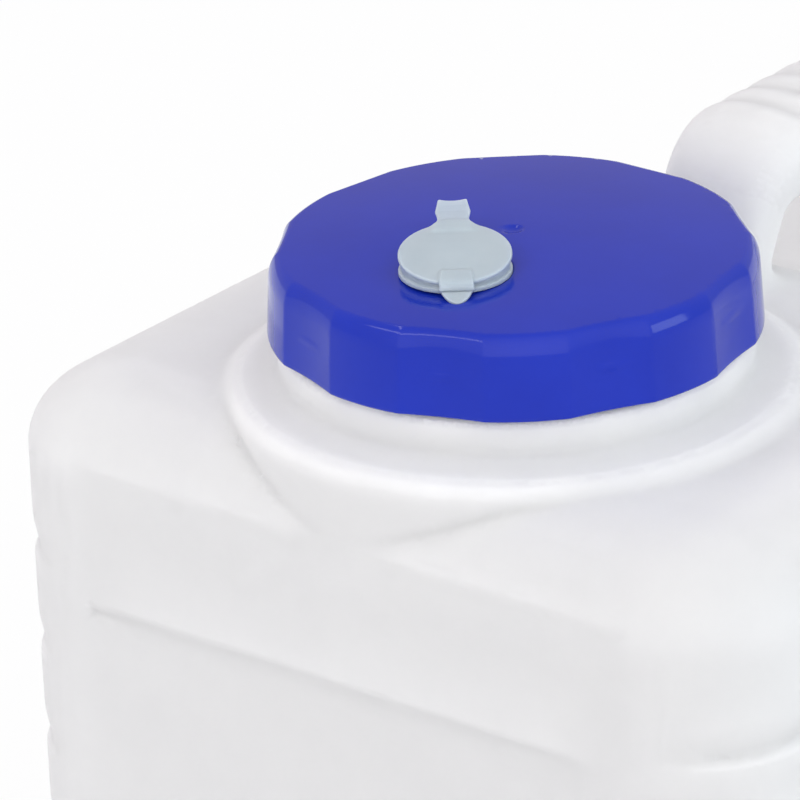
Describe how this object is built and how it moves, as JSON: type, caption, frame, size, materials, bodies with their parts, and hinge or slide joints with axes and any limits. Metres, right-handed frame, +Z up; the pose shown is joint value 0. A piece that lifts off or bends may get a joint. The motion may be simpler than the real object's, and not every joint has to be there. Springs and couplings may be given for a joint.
{
  "type": "water canister",
  "caption": "Translucent wide-mouth water canister with a lobed blue screw cap, a flip-open air vent, a hollow bow handle and a lever tap low in its front wall.",
  "frame": {"origin": "on the ground under the middle of the overall box", "axes": "+Z up; the front face with the tap looks along -Y; the handle runs along Y; X is the width, +X to the right seen from the front"},
  "size_m": [0.229, 0.3716, 0.3509],
  "materials": {
    "milky_polyethylene": "translucent, satin",
    "blue_plastic": "glossy",
    "foam_seal": "matte foam",
    "vent_plastic": "soft, slightly translucent",
    "white_plastic": "semi-gloss",
    "silicone": "satin",
    "black_rubber": "matte",
    "stainless_steel": "satin"
  },
  "bodies": {
    "tank": {"tank_body": "milky_polyethylene", "tap_body": "white_plastic", "tap_outer_washer": "silicone", "tap_inner_washer": "silicone", "tap_lock_nut": "white_plastic", "tap_bonnet": "blue_plastic"},
    "cap seal": {"cap_gasket": "foam_seal"},
    "cap": {"cap_shell": "blue_plastic", "vent_seat": "vent_plastic"},
    "vent cover": {"vent_lid": "vent_plastic"},
    "valve": {"tap_rotor": "white_plastic", "rotor_upper_oring": "black_rubber", "rotor_lower_oring": "black_rubber", "tap_lever": "blue_plastic", "lever_screw": "stainless_steel"}
  },
  "joints": [
    {"name": "cap_lift", "type": "slide", "parent": "tank", "child": "cap seal", "axis": [0, 0, 1], "range_m": [0, 0.0131]},
    {"name": "cap_turn", "type": "hinge", "parent": "cap seal", "child": "cap", "pos_m": [0, -0.0728, 0.318], "axis": [0, 0, 1], "range_deg": [0, 720]},
    {"name": "vent_flip", "type": "hinge", "parent": "cap", "child": "vent cover", "pos_m": [0.01183, -0.11025, 0.34261], "axis": [0.776, 0.6307, 0], "range_deg": [0, 105]},
    {"name": "tap_turn", "type": "hinge", "parent": "tank", "child": "valve", "pos_m": [0, -0.173, 0.046], "axis": [0, 0, 1], "range_deg": [-90, 0]}
  ],
  "couplings": [
    {"joint": "cap_lift", "follows": "cap_turn", "m_per_rad": 0.0010345}
  ]
}
